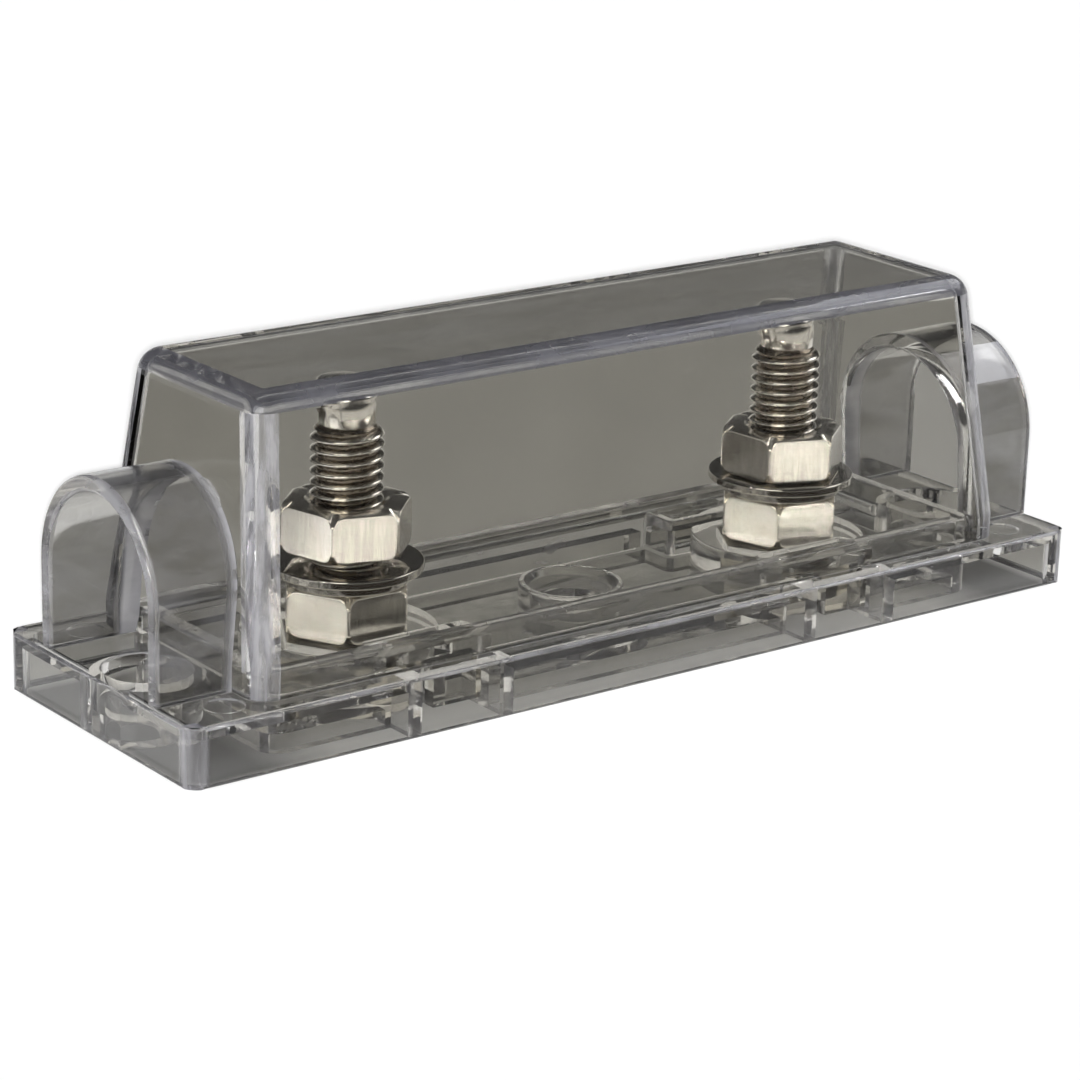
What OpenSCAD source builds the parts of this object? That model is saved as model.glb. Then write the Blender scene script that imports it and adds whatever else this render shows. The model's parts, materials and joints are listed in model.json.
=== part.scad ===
// Fuse holder for bolt-down fuses: a clear moulded base and cover with two M8 stud terminals.
// Origin at the middle of the underside, X along the holder, Z up, millimetres.

/* [Studs] */
// Distance between the two stud axes
stud_gap = 62; // [58:0.5:68]
// Outer diameter of the stud's thread
stud_d = 8; // [7:0.1:9]
// Height of the stud's end above the base's top plate
stud_rise = 26.4; // [24:0.2:30]
// Length of the plain end above the thread
dog_len = 3.4; // [1:0.1:5]
// Diameter of the plain end
dog_d = 6.2; // [5:0.1:6.6]
// Bevel at the tip of the plain end
dog_bevel = 0.5; // [0.2:0.1:1]
// Height of the hex bolt head under the pedestal
head_h = 4.6; // [3.6:0.1:4.8]

/* [Nuts and washers] */
// Width across the flats of the bolt heads and nuts
hex_af = 13; // [12:0.1:14]
// Height of each nut
nut_h = 5.6; // [4.5:0.1:6.5]
// Width of a nut's round end face as a share of its width across the flats
nut_face_share = 0.95; // [0.9:0.01:1]
// Angle of the bevel that trims the nut's corners
nut_bevel_deg = 40; // [25:1:45]
// Depth of the bevel at each end of a nut's bore
bore_bevel = 0.5; // [0.2:0.1:0.8]
// Radial play between a nut's or washer's bore and the stud
bore_play = 0.06; // [0.04:0.01:0.1]
// Outer diameter of the split lock washer
lock_washer_d = 14.1; // [13:0.1:15.5]
// Thickness of the split lock washer
lock_washer_t = 1.2; // [0.8:0.1:2]
// Width of the split in the lock washer
lock_split = 1; // [0.5:0.1:2]
// Outer diameter of the flat washer
flat_washer_d = 17; // [16:0.1:19]
// Thickness of the flat washer
flat_washer_t = 1; // [0.8:0.1:1.6]
// Height of the left top nut above its flat washer, part way up the thread
left_nut_lift = 1.2; // [0:0.1:2.5]

/* [Cover] */
// Width of the cover at its foot
cover_w = 32.7; // [31.5:0.1:36]
// Thickness of the cover's walls
cover_t = 2; // [1.6:0.1:2.4]
// Radius of the cover's outer edges
edge_r = 2.9; // [2.6:0.1:4]
// How far each end wall leans in from foot to top
end_draft = 2.2; // [0.5:0.1:3]
// How far each side wall leans in from foot to top
side_draft = 3.9; // [0.5:0.1:4.5]
// Air between the stud's end and the cover's ceiling
headroom = 3; // [1.5:0.1:5]
// Outer width of a cable arch
arch_w = 23.2; // [20:0.1:24]
// Outer height of a cable arch above the base's top plate
arch_h = 21.6; // [18:0.1:23]
// Wall thickness of a cable arch
arch_t = 1.8; // [1.4:0.1:2.4]
// Distance from an arch's mouth to the end of the base
arch_inset = 0.4; // [0.2:0.1:2]

/* [Clips] */
// Distance from the middle to each clip leg's centre
clip_x = 27.6; // [26:0.1:29]
// Width of a clip leg
clip_w = 6.2; // [5:0.1:8]
// Thickness of a clip leg
clip_t = 1.6; // [1.2:0.1:1.8]
// Length of a clip leg below the top plate
clip_len = 4.4; // [3:0.1:5]

/* [Base] */
// Length of the base, which sets the cover's length too
base_l = 124; // [121:0.5:140]
// Height of the base's top plate above the surface it is screwed to
base_h = 6.6; // [6.2:0.1:9]
// Width of the shelf beyond the cover at each end
end_shelf = 9.5; // [9:0.1:12]
// Width of the shelf beyond the cover along each side
side_shelf = 2.35; // [2.2:0.05:5]
// Radius of the base's upright corners
base_corner_r = 2.4; // [1:0.1:4]
// Thickness of the skirt, the tray's wall and the pocket's walls
wall_t = 1.8; // [1.4:0.1:2]
// Thickness of the top plate and the tray's floor
plate_t = 1.7; // [1.4:0.1:1.8]
// Depth of the tray's floor below the top plate
tray_depth = 3.2; // [2.6:0.1:3.6]
// Height of the rim that locates the cover, above the top plate
rim_h = 2.4; // [1.6:0.1:3]
// Clearance between the rim and the inside of the cover's foot
rim_gap = 0.6; // [0.4:0.05:0.8]
// Radius of the rim's outer corners
rim_corner_r = 2.4; // [2:0.1:4]

/* [Bosses and pockets] */
// Diameter of the pedestal under each stud's nut
pedestal_d = 20.5; // [19.5:0.1:22]
// Thickness of the pedestal's roof above the bolt head
pedestal_roof = 1.6; // [1.2:0.1:1.7]
// Clearance around the bolt head in its hex pocket
head_gap = 0.15; // [0.1:0.05:0.3]
// Diameter of the screw holes
screw_d = 5; // [4:0.1:5.5]
// Diameter of the recess for a screw's head
screw_head_d = 9.3; // [8:0.1:9.6]
// Height of the screw head's seat above the underside
screw_seat_z = 2.6; // [1.5:0.1:3]
// Outer diameter of the screw bosses
boss_d = 12; // [11.6:0.1:12.6]
// Drop of the centre boss's top below the top plate
boss_drop = 0.5; // [0:0.1:1]
// Depth of the bevel at the mouth of the centre boss
boss_bevel = 0.7; // [0.3:0.1:1]
// Distance from an end screw's axis to the end of the base
end_screw_inset = 6.2; // [6:0.1:6.6]
// Width of a clip pocket's block along the holder
pocket_w = 13.8; // [12.5:0.1:15]
// Distance from the middle plane to the inner face of a clip pocket
pocket_y = 7.4; // [7:0.1:9]
// Height of a clip pocket's roof above the top plate
pocket_rise = 1; // [0.4:0.1:1.2]
// Radius of a clip pocket's upright corners
pocket_r = 1; // [0.5:0.1:1.5]
// Diameter of the round moulding marks at the base's corners
mark_d = 4.4; // [3:0.1:4.6]
// Distance from a moulding mark to the cover and to the arch
mark_gap = 0.3; // [0.1:0.1:1]
// Depth of the round moulding marks
mark_depth = 0.25; // [0.1:0.05:0.5]

/* [Hidden] */
$fn = 64;
hull_fn = 32;
// Overlap that lets a cut run past a face
past = 1;

clear_plastic = [0.70, 0.70, 0.68, 0.45];
nickel = [0.80, 0.78, 0.74];

// Plan sizes of the cover and the base
cover_l = base_l - 2 * end_shelf;
base_w = cover_w + 2 * side_shelf;

// Heights
cover_h = stud_rise + headroom + cover_t;
tray_z = base_h - tray_depth;
rim_z = base_h + rim_h;
pocket_z = base_h + pocket_rise;
boss_z = base_h - boss_drop;
head_top_z = base_h - pedestal_roof;
stud_end_z = base_h + stud_rise;
thread_end_z = stud_end_z - dog_len;
lock_washer_z = base_h + nut_h;
flat_washer_z = lock_washer_z + lock_washer_t;
top_nut_z = flat_washer_z + flat_washer_t;

// Rim and tray plan, worked out from the inside of the cover's foot
rim_l = cover_l - 2 * (cover_t + rim_gap);
rim_w = cover_w - 2 * (cover_t + rim_gap);

// Places along the holder and across it
arch_end_x = base_l / 2 - arch_inset;
end_screw_x = base_l / 2 - end_screw_inset;
mark_x = cover_l / 2 + mark_d / 2 + mark_gap;
mark_y = arch_w / 2 + mark_d / 2 + mark_gap;

hex_ac = hex_af / cos(30);
bore_d = stud_d + 2 * bore_play;

// Turn of each nut about its stud, as it was left by the spanner
left_base_turn = 58;
right_base_turn = 49;
left_top_turn = 44;
right_top_turn = 38;
lock_split_turn = 75;
lock_split_slant = 20;

// Block with upright rounded corners, centred on the origin
module slab(l, w, h, r) {
    linear_extrude(h) {
        square([l - 2 * r, w], center = true);
        square([l, w - 2 * r], center = true);
        for (x = [-1, 1], y = [-1, 1])
            translate([x * (l / 2 - r), y * (w / 2 - r)]) circle(r);
    }
}

// Hex prism trimmed at its corners by a cone, at the top always and at the foot if both is true
module trimmed_hex(h, both) {
    face_r = hex_af * nut_face_share / 2;
    outer_r = hex_ac / 2 + past;
    bevel = (outer_r - face_r) * tan(nut_bevel_deg);
    intersection() {
        cylinder(h = h, d = hex_ac, $fn = 6);
        rotate_extrude() polygon([
            [0, 0],
            [both ? face_r : outer_r, 0],
            [outer_r, both ? bevel : 0],
            [outer_r, h - bevel],
            [face_r, h],
            [0, h]
        ]);
    }
}

module nut(turn) {
    color(nickel) difference() {
        rotate(turn) trimmed_hex(nut_h, true);
        translate([0, 0, -past]) cylinder(h = nut_h + 2 * past, d = bore_d);
        cylinder(h = bore_bevel, d1 = bore_d + 2 * bore_bevel, d2 = bore_d);
        translate([0, 0, nut_h - bore_bevel])
            cylinder(h = bore_bevel, d1 = bore_d, d2 = bore_d + 2 * bore_bevel);
    }
}

// Hex head under the pedestal, thread through the stack and a plain bevelled end
module stud() {
    color(nickel) {
        translate([0, 0, head_top_z]) mirror([0, 0, 1]) trimmed_hex(head_h, false);
        translate([0, 0, head_top_z - past]) cylinder(h = thread_end_z - head_top_z + past, d = stud_d);
        translate([0, 0, head_top_z]) cylinder(h = stud_end_z - dog_bevel - head_top_z, d = dog_d);
        translate([0, 0, stud_end_z - dog_bevel])
            cylinder(h = dog_bevel, d1 = dog_d, d2 = dog_d - 2 * dog_bevel);
    }
}

module ring(outer_d, t) {
    difference() {
        cylinder(h = t, d = outer_d);
        translate([0, 0, -past]) cylinder(h = t + 2 * past, d = bore_d);
    }
}

module flat_washer() {
    color(nickel) ring(flat_washer_d, flat_washer_t);
}

// Spring washer pressed flat, with its slanting split
module lock_washer() {
    color(nickel) difference() {
        ring(lock_washer_d, lock_washer_t);
        rotate(lock_split_turn) translate([lock_washer_d / 2, 0, lock_washer_t / 2])
            rotate([lock_split_slant, 0, 0])
                cube([lock_washer_d, lock_split, lock_washer_t + 2 * past], center = true);
    }
}

// The cover's drafted form, set in from its outer faces, down to a depth below the top plate
module cover_form(inset, depth) {
    r = edge_r - inset;
    lean = depth / cover_h;
    foot_x = cover_l / 2 - edge_r;
    foot_y = cover_w / 2 - edge_r;
    hull() for (x = [-1, 1], y = [-1, 1]) {
        translate([x * (foot_x - end_draft), y * (foot_y - side_draft), base_h + cover_h - edge_r])
            sphere(r, $fn = hull_fn);
        translate([x * (foot_x + lean * end_draft), y * (foot_y + lean * side_draft), base_h - depth])
            cylinder(h = edge_r, r = r, $fn = hull_fn);
    }
}

// Cable arch along X from x0 to x1: upright sides under a half round
module arch(w, h, x0, x1, drop) {
    translate([x0, 0, base_h - drop]) rotate([90, 0, 90]) linear_extrude(x1 - x0) intersection() {
        translate([-w / 2, 0]) square([w, h + drop]);
        union() {
            translate([-w / 2, 0]) square([w, h + drop - w / 2]);
            translate([0, h + drop - w / 2]) circle(d = w);
        }
    }
}

module clip_leg() {
    root = cover_t;
    translate([-clip_w / 2, cover_w / 2 - side_draft * root / cover_h - clip_t, base_h - clip_len])
        cube([clip_w, clip_t, clip_len + root]);
}

module cover() {
    inner_x = cover_l / 2 - cover_t - end_draft - edge_r;
    color(clear_plastic) {
        difference() {
            union() {
                cover_form(0, 0);
                for (side = [0, 1]) mirror([side, 0, 0])
                    arch(arch_w, arch_h, inner_x, arch_end_x, 0);
            }
            cover_form(cover_t, past);
            for (side = [0, 1]) mirror([side, 0, 0])
                arch(arch_w - 2 * arch_t, arch_h - arch_t, inner_x - past, arch_end_x + past, past);
        }
        for (sx = [0, 1], sy = [0, 1]) mirror([sx, 0, 0]) mirror([0, sy, 0])
            translate([clip_x, 0, 0]) clip_leg();
    }
}

// Solid block of a clip pocket, from inside the tray out to the skirt
module pocket_block() {
    inner_w = base_w / 2 - pocket_y;
    translate([clip_x, pocket_y + inner_w / 2, 0]) slab(pocket_w, inner_w, base_h - plate_t, pocket_r);
    tray_part = rim_w / 2 - pocket_y;
    translate([clip_x, pocket_y + tray_part / 2, 0]) slab(pocket_w, tray_part, pocket_z, pocket_r);
}

// Hollow of a clip pocket, open below, and the slot that lets the cover's leg in from above
module pocket_hollow() {
    hollow_w = pocket_w - 2 * wall_t;
    hollow_y0 = pocket_y + wall_t;
    hollow_y1 = base_w / 2 - wall_t;
    slot_y0 = rim_w / 2;
    translate([clip_x - hollow_w / 2, hollow_y0, -past]) {
        cube([hollow_w, hollow_y1 - hollow_y0, base_h - plate_t + past]);
        cube([hollow_w, slot_y0 - wall_t - hollow_y0, pocket_z - plate_t + past]);
    }
    translate([clip_x - hollow_w / 2, slot_y0, 0])
        cube([hollow_w, hollow_y1 - slot_y0, base_h + past]);
}

// Skirt and top plate with the tray sunk into it, hollow below
module base_shell() {
    tray_l = rim_l - 2 * wall_t;
    tray_w = rim_w - 2 * wall_t;
    tray_r = rim_corner_r - wall_t;
    difference() {
        union() {
            slab(base_l, base_w, base_h, base_corner_r);
            slab(rim_l, rim_w, rim_z, rim_corner_r);
        }
        translate([0, 0, tray_z]) slab(tray_l, tray_w, rim_z, tray_r);
        translate([0, 0, -past]) slab(tray_l, tray_w, tray_z - plate_t + past, tray_r);
        difference() {
            translate([0, 0, -past])
                slab(base_l - 2 * wall_t, base_w - 2 * wall_t, base_h - plate_t + past, base_corner_r - wall_t / 2);
            slab(rim_l, rim_w, rim_z, rim_corner_r);
        }
    }
}

module screw_bore(x, top_z) {
    translate([x, 0, -past]) cylinder(h = top_z + 2 * past, d = screw_d);
    translate([x, 0, screw_seat_z]) cylinder(h = top_z - screw_seat_z + past, d = screw_head_d);
}

module base() {
    color(clear_plastic) difference() {
        union() {
            difference() {
                union() {
                    base_shell();
                    for (sx = [0, 1], sy = [0, 1]) mirror([sx, 0, 0]) mirror([0, sy, 0]) pocket_block();
                }
                for (sx = [0, 1], sy = [0, 1]) mirror([sx, 0, 0]) mirror([0, sy, 0]) pocket_hollow();
            }
            for (x = [-1, 1]) {
                translate([x * stud_gap / 2, 0, 0]) cylinder(h = base_h, d = pedestal_d);
                translate([x * end_screw_x, 0, 0]) cylinder(h = base_h, d = boss_d);
            }
            cylinder(h = boss_z, d = boss_d);
        }
        for (x = [-1, 1]) {
            translate([x * stud_gap / 2, 0, -past]) {
                cylinder(h = base_h + 2 * past, d = bore_d);
                cylinder(h = head_top_z + past, d = hex_ac + 2 * head_gap, $fn = 6);
            }
            screw_bore(x * end_screw_x, base_h);
            for (y = [-1, 1])
                translate([x * mark_x, y * mark_y, base_h - mark_depth])
                    cylinder(h = mark_depth + past, d = mark_d);
        }
        screw_bore(0, boss_z);
        translate([0, 0, boss_z - boss_bevel])
            cylinder(h = boss_bevel, d1 = screw_head_d, d2 = screw_head_d + 2 * boss_bevel);
    }
}

module on_stud(side, z) {
    translate([side * stud_gap / 2, 0, z]) children();
}

module left_stud() on_stud(-1, 0) stud();
module right_stud() on_stud(1, 0) stud();
module left_base_nut() on_stud(-1, base_h) nut(left_base_turn);
module right_base_nut() on_stud(1, base_h) nut(right_base_turn);
module left_lock_washer() on_stud(-1, lock_washer_z) lock_washer();
module right_lock_washer() on_stud(1, lock_washer_z) lock_washer();
module left_flat_washer() on_stud(-1, flat_washer_z) flat_washer();
module right_flat_washer() on_stud(1, flat_washer_z) flat_washer();
module left_top_nut() on_stud(-1, top_nut_z + left_nut_lift) nut(left_top_turn);
module right_top_nut() on_stud(1, top_nut_z) nut(right_top_turn);

base();
cover();
left_stud();
right_stud();
left_base_nut();
right_base_nut();
left_lock_washer();
right_lock_washer();
left_flat_washer();
right_flat_washer();
left_top_nut();
right_top_nut();
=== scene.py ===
"""Looks of the clear fuse holder: smoky moulded shells, threaded studs, nuts, washers and their stage."""

import json
import math

import bmesh
import bpy
import numpy as np
from mathutils import Matrix, Vector

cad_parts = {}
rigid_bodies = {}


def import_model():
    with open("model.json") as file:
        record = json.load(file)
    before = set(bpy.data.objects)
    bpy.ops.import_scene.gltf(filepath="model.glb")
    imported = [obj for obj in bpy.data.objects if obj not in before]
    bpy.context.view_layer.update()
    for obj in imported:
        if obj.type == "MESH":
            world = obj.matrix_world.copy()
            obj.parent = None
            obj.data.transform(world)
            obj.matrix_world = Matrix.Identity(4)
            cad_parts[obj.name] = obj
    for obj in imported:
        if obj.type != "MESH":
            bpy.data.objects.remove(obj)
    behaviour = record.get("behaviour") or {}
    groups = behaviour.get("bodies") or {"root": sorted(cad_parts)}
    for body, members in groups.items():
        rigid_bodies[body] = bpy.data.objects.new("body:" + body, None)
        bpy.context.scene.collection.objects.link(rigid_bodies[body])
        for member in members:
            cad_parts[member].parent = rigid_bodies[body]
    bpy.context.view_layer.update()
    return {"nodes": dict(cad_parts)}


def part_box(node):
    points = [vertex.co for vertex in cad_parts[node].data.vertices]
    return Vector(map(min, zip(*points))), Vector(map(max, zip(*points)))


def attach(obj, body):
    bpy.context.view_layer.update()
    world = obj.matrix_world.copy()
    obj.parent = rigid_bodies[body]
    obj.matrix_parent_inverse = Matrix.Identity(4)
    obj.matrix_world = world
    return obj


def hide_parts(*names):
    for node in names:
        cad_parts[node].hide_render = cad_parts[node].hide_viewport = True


bl_info = {
    "name": "Clear fuse holder",
    "version": (1, 0, 0),
    "blender": (4, 5, 0),
    "location": "3D View > Sidebar > Fuse holder",
    "description": "Dresses the solids of a clear fuse holder with its mouldings, studs, nuts and washers",
    "category": "Object",
}

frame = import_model()

# Sizes that several pieces share: tolerance, hole rows, round marks, hexagons, threads, bores and seat gaps
MM = 0.001
NEAR = 0.1 * MM
SIDES = ("left", "right")
SIDE_SIGN = {"left": -1.0, "right": 1.0}
HOLE_PLACES = (-55.8, -27.6, 0.0, 27.6, 55.8)
MARK_X, MARK_Y, MARK_R, MARK_FOOT = 55.0 * MM, 14.1 * MM, 2.4 * MM, 6.0 * MM
FLATS = 13.0 * MM
CREST = 4.0 * MM
BORE = 4.06 * MM
LIFT = 0.02 * MM


def low(node):
    """Lowest corner of a node's box."""
    return np.array(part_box(node)[0])


def high(node):
    """Highest corner of a node's box."""
    return np.array(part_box(node)[1])


STUD_X = float((low("right_stud")[0] + high("right_stud")[0]) / 2)
BASE_TOP = float(low("left_base_nut")[2])
STUD_FOOT = float(low("left_stud")[2])
STUD_TIP = float(high("left_stud")[2])
THREAD_END = STUD_TIP - 3.4 * MM


class PlasticSettings(bpy.types.PropertyGroup):
    """Finish of the two clear mouldings."""

    cover_tint: bpy.props.FloatVectorProperty(
        name="Cover tint", description="Colour that one wall of the cover gives to what is behind it",
        subtype="COLOR", size=3, min=0.0, max=1.0, default=(0.76, 0.75, 0.715))
    base_tint: bpy.props.FloatVectorProperty(
        name="Base tint", description="Colour that one wall of the base gives to what is behind it",
        subtype="COLOR", size=3, min=0.0, max=1.0, default=(0.80, 0.795, 0.77))
    # The edge tint colours the painted sheen on the rounded edges.
    edge_tint: bpy.props.FloatVectorProperty(
        name="Edge tint", description="Pale colour that the rounded edges gather",
        subtype="COLOR", size=3, min=0.0, max=1.0, default=(0.75, 0.745, 0.79))
    # The brow tint colours a painted slate sheen on the cover's upper edges.
    brow_tint: bpy.props.FloatVectorProperty(
        name="Brow tint", description="Slate colour that the cover's rounded upper edges gather",
        subtype="COLOR", size=3, min=0.0, max=1.0, default=(0.17, 0.17, 0.195))
    ior: bpy.props.FloatProperty(
        name="Refraction", description="Index of refraction of the plastic", default=1.49, min=1.3, max=1.7)
    base_edge: bpy.props.FloatProperty(
        name="Base edge", description="Rounding of the base's outer edges",
        unit="LENGTH", default=0.35 * MM, min=0.05 * MM, max=0.6 * MM)
    cover_edge: bpy.props.FloatProperty(
        name="Cover edge", description="Rounding of the cover's foot, arches and corners",
        unit="LENGTH", default=0.5 * MM, min=0.05 * MM, max=0.8 * MM)


class MetalSettings(bpy.types.PropertyGroup):
    """Finish and small sizes of the plated hardware."""

    nickel: bpy.props.FloatVectorProperty(
        name="Nickel", description="Colour of the bright plating",
        subtype="COLOR", size=3, min=0.0, max=1.0, default=(0.88, 0.85, 0.795))
    pitch: bpy.props.FloatProperty(
        name="Thread pitch", description="Rise of the thread in one turn",
        unit="LENGTH", default=1.25 * MM, min=0.8 * MM, max=2.0 * MM)
    thread_depth: bpy.props.FloatProperty(
        name="Thread depth", description="Depth of the thread from crest to root",
        unit="LENGTH", default=0.74 * MM, min=0.3 * MM, max=1.0 * MM)
    nut_edge: bpy.props.FloatProperty(
        name="Nut edge", description="Rounding of the nuts' edges",
        unit="LENGTH", default=0.18 * MM, min=0.02 * MM, max=0.25 * MM)
    washer_edge: bpy.props.FloatProperty(
        name="Washer edge", description="Rounding of the washers' edges",
        unit="LENGTH", default=0.18 * MM, min=0.02 * MM, max=0.4 * MM)


class StageSettings(bpy.types.PropertyGroup):
    """Floor, light and camera."""

    floor_colour: bpy.props.FloatVectorProperty(
        name="Floor", description="Colour of the floor",
        subtype="COLOR", size=3, min=0.0, max=1.0, default=(0.92, 0.92, 0.92))
    room_level: bpy.props.FloatProperty(
        name="Room level", description="Strength of the even light from the room",
        default=0.06, min=0.0, max=1.0)
    shade_colour: bpy.props.FloatVectorProperty(
        name="Shade", description="Colour of the floor in the part's shadow",
        subtype="COLOR", size=3, min=0.0, max=1.0, default=(0.335, 0.33, 0.315))
    lens: bpy.props.FloatProperty(
        name="Lens", description="Focal length in millimetres on a 36 mm sensor",
        default=118.6, min=20.0, max=300.0)


class Wire:
    """A value in a node tree. Arithmetic on it adds Math nodes."""

    def __init__(self, tree, socket):
        self.tree = tree
        self.socket = socket

    def math(self, operation, *values):
        """The Math node with this operation, taking these values in order."""
        node = self.tree.add("ShaderNodeMath", {"operation": operation}, dict(enumerate(values)))
        return self.tree.wire(node)

    def __add__(self, other):
        return self.math("ADD", self, other)

    def __radd__(self, other):
        return self.math("ADD", other, self)

    def __sub__(self, other):
        return self.math("SUBTRACT", self, other)

    def __rsub__(self, other):
        return self.math("SUBTRACT", other, self)

    def __mul__(self, other):
        return self.math("MULTIPLY", self, other)

    def __rmul__(self, other):
        return self.math("MULTIPLY", other, self)

    def __truediv__(self, other):
        return self.math("DIVIDE", self, other)

    def __rtruediv__(self, other):
        return self.math("DIVIDE", other, self)

    def size(self):
        """The value without its sign."""
        return self.math("ABSOLUTE", self)

    def band(self, start, end):
        """0 below start, 1 above end, straight between."""
        node = self.tree.add("ShaderNodeMapRange", None, {"Value": self, "From Min": start, "From Max": end})
        return self.tree.wire(node, "Result")


class Tree:
    """A node tree under construction."""

    def __init__(self, tree):
        self.tree = tree
        tree.nodes.clear()

    def add(self, kind, settings=None, inputs=None):
        """A node of this type with its settings set first, then its sockets, by name or number, linked to
        a wire or another node's socket or set to a plain value."""
        node = self.tree.nodes.new(kind)
        for key, value in (settings or {}).items():
            setattr(node, key, value)
        for key, value in (inputs or {}).items():
            if isinstance(value, Wire):
                value = value.socket
            if isinstance(value, bpy.types.NodeSocket):
                self.tree.links.new(value, node.inputs[key])
            else:
                node.inputs[key].default_value = value
        return node

    def close(self, shader, owner="Material"):
        """Send a shader to the output of the material, world or light that owns the tree."""
        self.add("ShaderNodeOutput" + owner, None, {"Surface": shader.outputs[0]})

    def wire(self, node, output=0):
        """One output of a node as a wire."""
        return Wire(self, node.outputs[output])

    def place(self, scale=(1.0, 1.0, 1.0)):
        """Object coordinates, scaled along each axis."""
        coords = self.add("ShaderNodeTexCoord")
        mapping = self.add("ShaderNodeMapping", None, {"Vector": coords.outputs["Object"], "Scale": scale})
        return mapping.outputs[0]

    def axes(self):
        """X, Y and Z of the object coordinates as wires."""
        split = self.add("ShaderNodeSeparateXYZ", None, {0: self.place()})
        return [self.wire(split, axis) for axis in range(3)]

    def noise(self, vector, scale, detail=2.0, rough=0.5):
        """Even noise between 0 and 1."""
        node = self.add("ShaderNodeTexNoise", None, {
            "Vector": vector, "Scale": scale, "Detail": detail, "Roughness": rough})
        return self.wire(node, "Fac")

    def blend(self, factor, first, second):
        """Colour between two colours."""
        node = self.add("ShaderNodeMix", {"data_type": "RGBA"}, {0: factor, 6: first, 7: second})
        return node.outputs[2]

    def bump(self, height, strength, distance):
        """Normal bent by a height."""
        node = self.add("ShaderNodeBump", None, {
            "Height": height, "Strength": strength, "Distance": distance})
        return node.outputs[0]


def new_material(name):
    """A material with an empty node tree."""
    material = bpy.data.materials.new(name)
    material.use_nodes = True
    return material, Tree(material.node_tree)


def rgba(colour, level=1.0):
    """Colour with full alpha, scaled by a level."""
    return tuple(min(1.0, c * level) for c in colour) + (1.0,)


def clear_plastic(name, settings, tint, pale_share, gloss, pale_tint=None, grain=(1.0, 1.0, 2.5),
                  seam=None, posts=None, foot=None):
    """Glossy see-through moulding with a faint smoky tint, flow ripples and handling smears, mixed with a
    pale diffuse skin whose colour is painted sheen, for the light that the plastic gathers. Pale share gives
    the skin's lowest and highest share, gloss the share of mirror light kept and pale tint the skin's
    colour, and grain squeezes the smears along each axis. The glint plane, given by its distance along X at
    no height and its lean, carries more of the skin as a painted glint. Posts gives the distances along X
    and Y past which a corner counts as solid and shows more of the skin as painted sheen. Below the height
    that foot gives, the
    skin is dark: painted shade."""
    foot_shade_tint = (0.045, 0.045, 0.048)
    material, tree = new_material(name)
    flow = tree.noise(tree.place((1.0, 1.6, 1.0)), 45.0, 2.0)
    smear = tree.noise(tree.place(grain), 110.0, 3.0, 0.6)
    tint = tree.blend(flow.band(0.3, 0.7), rgba(tint, 0.97), rgba(tint, 1.03))
    shader = tree.add("ShaderNodeBsdfPrincipled", None, {
        "Base Color": tint,
        "Roughness": 0.03 * smear.band(0.5, 0.75),
        "IOR": settings.ior,
        "Transmission Weight": 1.0,
        "Specular Tint": (gloss, gloss, gloss * 1.05, 1.0),
        "Normal": tree.bump(flow, 0.03, 0.4 * MM)})
    least, most = pale_share
    # Painted sheen: a pale diffuse skin mixed into the clear plastic stands in for the light that the
    # plastic gathers.
    if most > 0.0:
        pale_tint = pale_tint or settings.edge_tint
        colour = tree.blend(smear, rgba(pale_tint, 0.9), rgba(pale_tint, 1.1))
        share = least + (most - least) * smear.band(0.35, 0.65)
        x, y, z = tree.axes()
        # Painted shade: the skin turns dark, and there is more of it, towards the foot.
        if foot:
            foot_shade = 1.0 - z.band(0.7 * foot, foot)
            colour = tree.blend(foot_shade, colour, rgba(foot_shade_tint))
            share = share + 0.5 * foot_shade
        # Painted glint: more of the skin along the plane where the arch meets the end wall.
        if seam:
            past = x.size() + seam[1] * z - seam[0]
            share = share + 0.55 * (1.0 - past.band(0.2 * MM, 0.9 * MM))
        # Painted sheen: solid corners show more of the pale skin.
        if posts:
            soft = 0.4 * MM
            inside = (x.size() - posts[0]).band(0.0, soft) * (y.size() - posts[1]).band(0.0, soft)
            share = share + inside * (0.25 + 0.4 * smear.band(0.3, 0.7))
        pale = tree.add("ShaderNodeBsdfPrincipled", None, {
            "Base Color": colour, "Roughness": 0.25 + 0.2 * smear})
        shader = tree.add("ShaderNodeMixShader", None, {0: share, 1: shader.outputs[0], 2: pale.outputs[0]})
    tree.close(shader)
    return material


def plated_metal(name, settings, marks, rough, hollow=False, level=1.0):
    """Bright warm plating with brush marks along a direction, cloudy wear and fine pits, and painted shade,
    dark and dull, in the hollows that the mesh's attribute gives. Level scales the colour."""
    hollow_shade_tint = (0.16, 0.13, 0.095)
    material, tree = new_material(name)
    brush = tree.noise(tree.place(marks), 1.0, 3.0, 0.65)
    cloud = tree.noise(tree.place(), 260.0, 3.0)
    pits = tree.noise(tree.place(), 1500.0, 1.0).band(0.68, 0.76)
    clean, cloudy, pitted = (rgba(settings.nickel, share * level) for share in (1.0, 0.9, 0.45))
    colour = tree.blend(cloud.band(0.35, 0.75), clean, cloudy)
    colour = tree.blend(pits * 0.35, colour, pitted)
    rough = rough + 0.06 * brush.band(0.45, 0.75) + 0.04 * cloud.band(0.4, 0.8)
    # Painted shade: the thread's roots, and the tip a little, are darkened and made rougher.
    if hollow:
        deep = tree.wire(tree.add("ShaderNodeAttribute", {"attribute_name": "hollow"}), "Fac")
        colour = tree.blend(deep.band(0.12, 0.75) * 0.92, colour, rgba(hollow_shade_tint))
        rough = rough + 0.15 * deep
    shader = tree.add("ShaderNodeBsdfPrincipled", None, {
        "Base Color": colour,
        "Metallic": 1.0,
        "Roughness": rough,
        "Normal": tree.bump(brush - pits * 0.5, 0.10, 0.05 * MM)})
    tree.close(shader)
    return material


def put_in_scene(name, mesh):
    """A new object at the origin that holds the mesh."""
    obj = bpy.data.objects.new(name, mesh)
    bpy.context.scene.collection.objects.link(obj)
    return obj


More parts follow.
